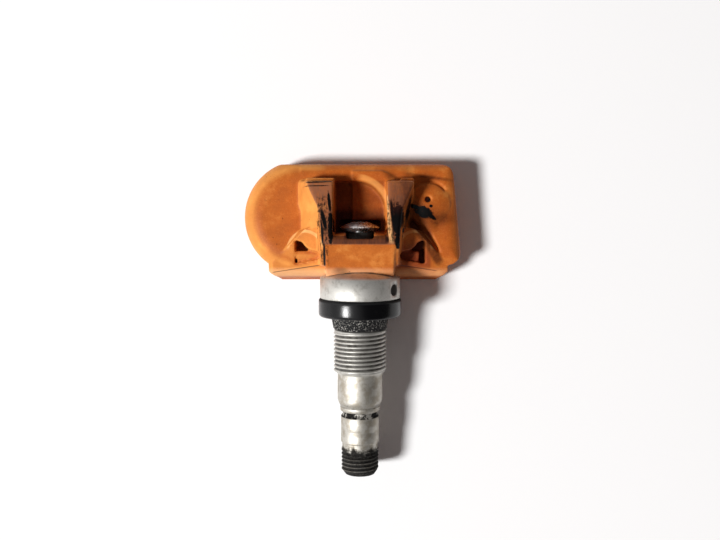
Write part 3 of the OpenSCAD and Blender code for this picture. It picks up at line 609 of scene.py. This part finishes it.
rubber = colour(7, 7, 9)
rubber_grey = colour(178, 175, 168)
seal_finish, surface, place = new_finish("seal_rubber", {"Specular IOR Level": 0.3})
local = place.turned(stem_centre, stem_angles)
on_cone = local.axis("Z").rise(seal_end - 0.02, seal_end + 0.15)
grit = local.noise(0.35, 4.0, 0.75)
dust = local.noise(0.9, 4.0, 0.7, 6.0)
crumb = grit.rise(0.54, 0.62) * on_cone
tone = (crumb + dust.rise(0.64, 0.8) * 0.05).over(rubber, rubber_grey)
back_edge = 1 - local.axis("Z").rise(collar_end + 0.35, collar_end + 0.7)
gloss = 0.16 + dust * 0.1 + on_cone * 0.55 + back_edge * 0.6
rough = (grit * (0.06 + on_cone * 1.1)).bump(0.9, 0.00025)
set_looks(seal_finish, surface, {"Base Color": tone, "Roughness": gloss, "Normal": rough})
place_piece("rubber_rim_seal", seal_mesh, "stem_body", seal_finish, "seal_rubber", "rim_seal")

# Clamp screw
# A bright plated lens-head screw. It clamps the stem's neck to the bridge, from inside the well,
# and its head is pitted. The pits grow dense over the right half, where they also stand in for painted
# shade.
plated = colour(236, 236, 234)
plated_dull = colour(130, 128, 124)
screw_finish, surface, place = new_finish("plated_screw", {"Metallic": 1.0})
haze = place.noise(1.6, 4.0, 0.6)
grit = place.noise(0.3, 4.0, 0.7, 5.0)
tone = (haze.rise(0.5, 0.75) * 0.4).over(plated, plated_dull)
east = place.axis("X")
few_pits = grit.rise(0.6, 0.7) * east.rise(-3.4, -1.4) * 0.5
pits_and_shade = grit.rise(0.42, 0.54) * east.rise(-1.4, 0.2) * (1 - east.rise(3.0, 4.0)) * 0.85
tone = (few_pits + pits_and_shade).at_most(1.0).over(tone, black_dirt_and_shade)
gloss = 0.26 + haze * 0.12 + grit.rise(0.6, 0.72) * 0.2
rough = grit.bump(0.3, 0.00003)
set_looks(screw_finish, surface, {"Base Color": tone, "Roughness": gloss, "Normal": rough})
dress_node("clamp_screw", screw_finish)

# Valve core
# A turned brass body with its seal ring, spring and pin, screwed into the stem's end. Pushing the
# pin in moves its rubber cup off the seat and lets the air out.
def dress_plainly(parts):
    """Gives each node a finish of its own: name, clean and marked colours, roughness, metallic."""
    for node, (name, clean, marked, roughness, metallic) in parts.items():
        finish, surface, place = new_finish(name, {"Metallic": metallic})
        haze = place.noise(0.9, 4.0, 0.6)
        fine = place.noise(0.15, 3.0, 0.6, 2.0)
        tone = haze.rise(0.4, 0.75).over(colour(*clean), colour(*marked))
        gloss = roughness + haze * 0.15
        rough = fine.bump(0.25, 0.00002)
        set_looks(finish, surface, {"Base Color": tone, "Roughness": gloss, "Normal": rough})
        dress_node(node, finish)


dress_plainly({
    "core_body": ("core_brass", (196, 150, 78), (120, 84, 40), 0.3, 1.0),
    "core_pin": ("core_pin_steel", (200, 198, 192), (120, 116, 110), 0.28, 1.0),
    "core_spring": ("core_spring_steel", (190, 190, 188), (120, 118, 112), 0.3, 1.0),
    "core_seal_ring": ("core_ring_red", (170, 42, 32), (110, 26, 20), 0.5, 0.0),
    "core_cup": ("core_cup_rubber", (26, 26, 28), (50, 48, 46), 0.6, 0.0),
})

# On the real core the spring shortens as the pin goes in, while its inner end stays on the core's guide.
# Here a copy of the spring stands in for its solid, and the share it would shorten by is worked out but
# not used.
coil = frame["nodes"]["core_spring"].data.copy()
coil_finish = bpy.data.materials["core_spring_steel"]
inwards = -outwards
reach = [vertex.co.dot(inwards) for vertex in coil.vertices]
travel = press["range_m"][1]
spring = place_piece("pressed_spring", coil, "stem_body", coil_finish, "spring_steel", "core_spring")
1 - travel / (max(reach) - min(reach))
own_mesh(spring)

# Inner parts
# The sealed housing holds the board with its parts, the cell that feeds it and the sensor package
# under the port. Nothing of them shows, so each takes a plain finish.
dress_plainly({
    "circuit_board": ("board_laminate", (24, 84, 52), (16, 60, 38), 0.45, 0.0),
    "battery": ("cell_steel", (196, 196, 192), (150, 148, 144), 0.28, 1.0),
    "battery_tab_positive": ("strip_nickel", (200, 196, 186), (150, 146, 138), 0.35, 1.0),
    "battery_tab_negative": ("strip_nickel_low", (200, 196, 186), (150, 146, 138), 0.35, 1.0),
    "pressure_sensor": ("package_black", (34, 34, 36), (52, 50, 50), 0.5, 0.0),
    "port_seal": ("silicone_ring", (216, 216, 208), (190, 188, 180), 0.55, 0.0),
    "port_filter": ("filter_disc", (236, 234, 228), (206, 204, 198), 0.8, 0.0),
    "coil_core": ("coil_ferrite", (44, 42, 42), (66, 64, 62), 0.5, 0.0),
    "coil_winding": ("coil_copper", (190, 96, 50), (130, 60, 30), 0.35, 1.0),
    "antenna": ("antenna_gilt", (214, 178, 96), (160, 124, 60), 0.3, 1.0),
    "crystal": ("crystal_can", (200, 200, 198), (150, 148, 146), 0.25, 1.0),
    "capacitors": ("chip_ceramic", (186, 152, 112), (140, 108, 76), 0.5, 0.0),
})

# Table, light and camera
# The part lies on its flat base on a white sheet, lit by one soft lamp from the front left. The
# camera hangs over it and looks straight down.
paper_white = colour(255, 255, 255)
paper_shade = colour(246, 246, 246)
sheet_half = 1.5
sheet_level = Matrix.Translation((0, 0, -0.1 * MM))
sheet_finish, surface, place = new_finish("white_sheet", {"Roughness": 0.9, "Specular IOR Level": 0.1})
tone = (place.noise(30.0, 2.0, 0.5) * 0.1).over(paper_white, paper_shade)
set_looks(sheet_finish, surface, {"Base Color": tone})
sheet_shape = bmesh.new()
bmesh.ops.create_grid(sheet_shape, x_segments=1, y_segments=1, size=sheet_half, matrix=sheet_level)
sheet_mesh = mesh_of("white_sheet", sheet_shape)
sheet_mesh.materials.append(sheet_finish)
sheet = bpy.data.objects.new("white_sheet", sheet_mesh)
bpy.context.scene.collection.objects.link(sheet)

world = bpy.data.worlds.new("soft_room")
world.use_nodes = True
bpy.context.scene.world = world

# The camera sees white. Glossy faces mirror a pale wall at the left. The fill light is faint and warm
towards_lamp = Vector((-0.85, -0.32, 1.0)).normalized()
pale_wall = Vector((-0.85, -0.3, 0.43)).normalized()
white = (1.0, 1.0, 1.0, 1.0)
warm_white = (1.0, 0.86, 0.84, 1.0)
room = Shade(world.node_tree)
direction = room.node("ShaderNodeTexCoord")
facing = direction.node("ShaderNodeVectorMath", {"operation": "DOT_PRODUCT"},
                        {0: direction, 1: tuple(pale_wall)}, 1)
mirrored = room.node("ShaderNodeLightPath", output=3)
through = room.node("ShaderNodeLightPath", output=6)
seen = room.node("ShaderNodeLightPath").at_least(through)
strength = 0.12 - mirrored * 0.05 + seen * 0.86 + mirrored * (facing.rise(0.18, 0.85) * 0.86)
backing = seen.at_least(mirrored).over(warm_white, white)
air = world.node_tree.nodes["Background"]
world.node_tree.links.new(backing.socket, air.inputs["Color"])
world.node_tree.links.new(strength.socket, air.inputs["Strength"])

lamp_distance = 2
lamp = bpy.data.lights.new("soft_lamp", "AREA")
lamp.shape = "DISK"
lamp.size = 0.42
lamp.energy = 48
lamp_stand = bpy.data.objects.new("soft_lamp", lamp)
lamp_stand.location = towards_lamp * lamp_distance
lamp_stand.rotation_euler = towards_lamp.to_track_quat("Z", "Y").to_euler()
bpy.context.scene.collection.objects.link(lamp_stand)

camera_back = -10
camera_height = 194
lens = bpy.data.cameras.new("copy_stand")
lens.lens = 45
lens.sensor_width = 36
lens.clip_start = 0.01
camera = bpy.data.objects.new("copy_stand", lens)
camera.location = (0, camera_back * MM, camera_height * MM)
bpy.context.scene.collection.objects.link(camera)
bpy.context.scene.camera = camera
bpy.context.scene.view_settings.view_transform = "Standard"

bpy.context.view_layer.update()
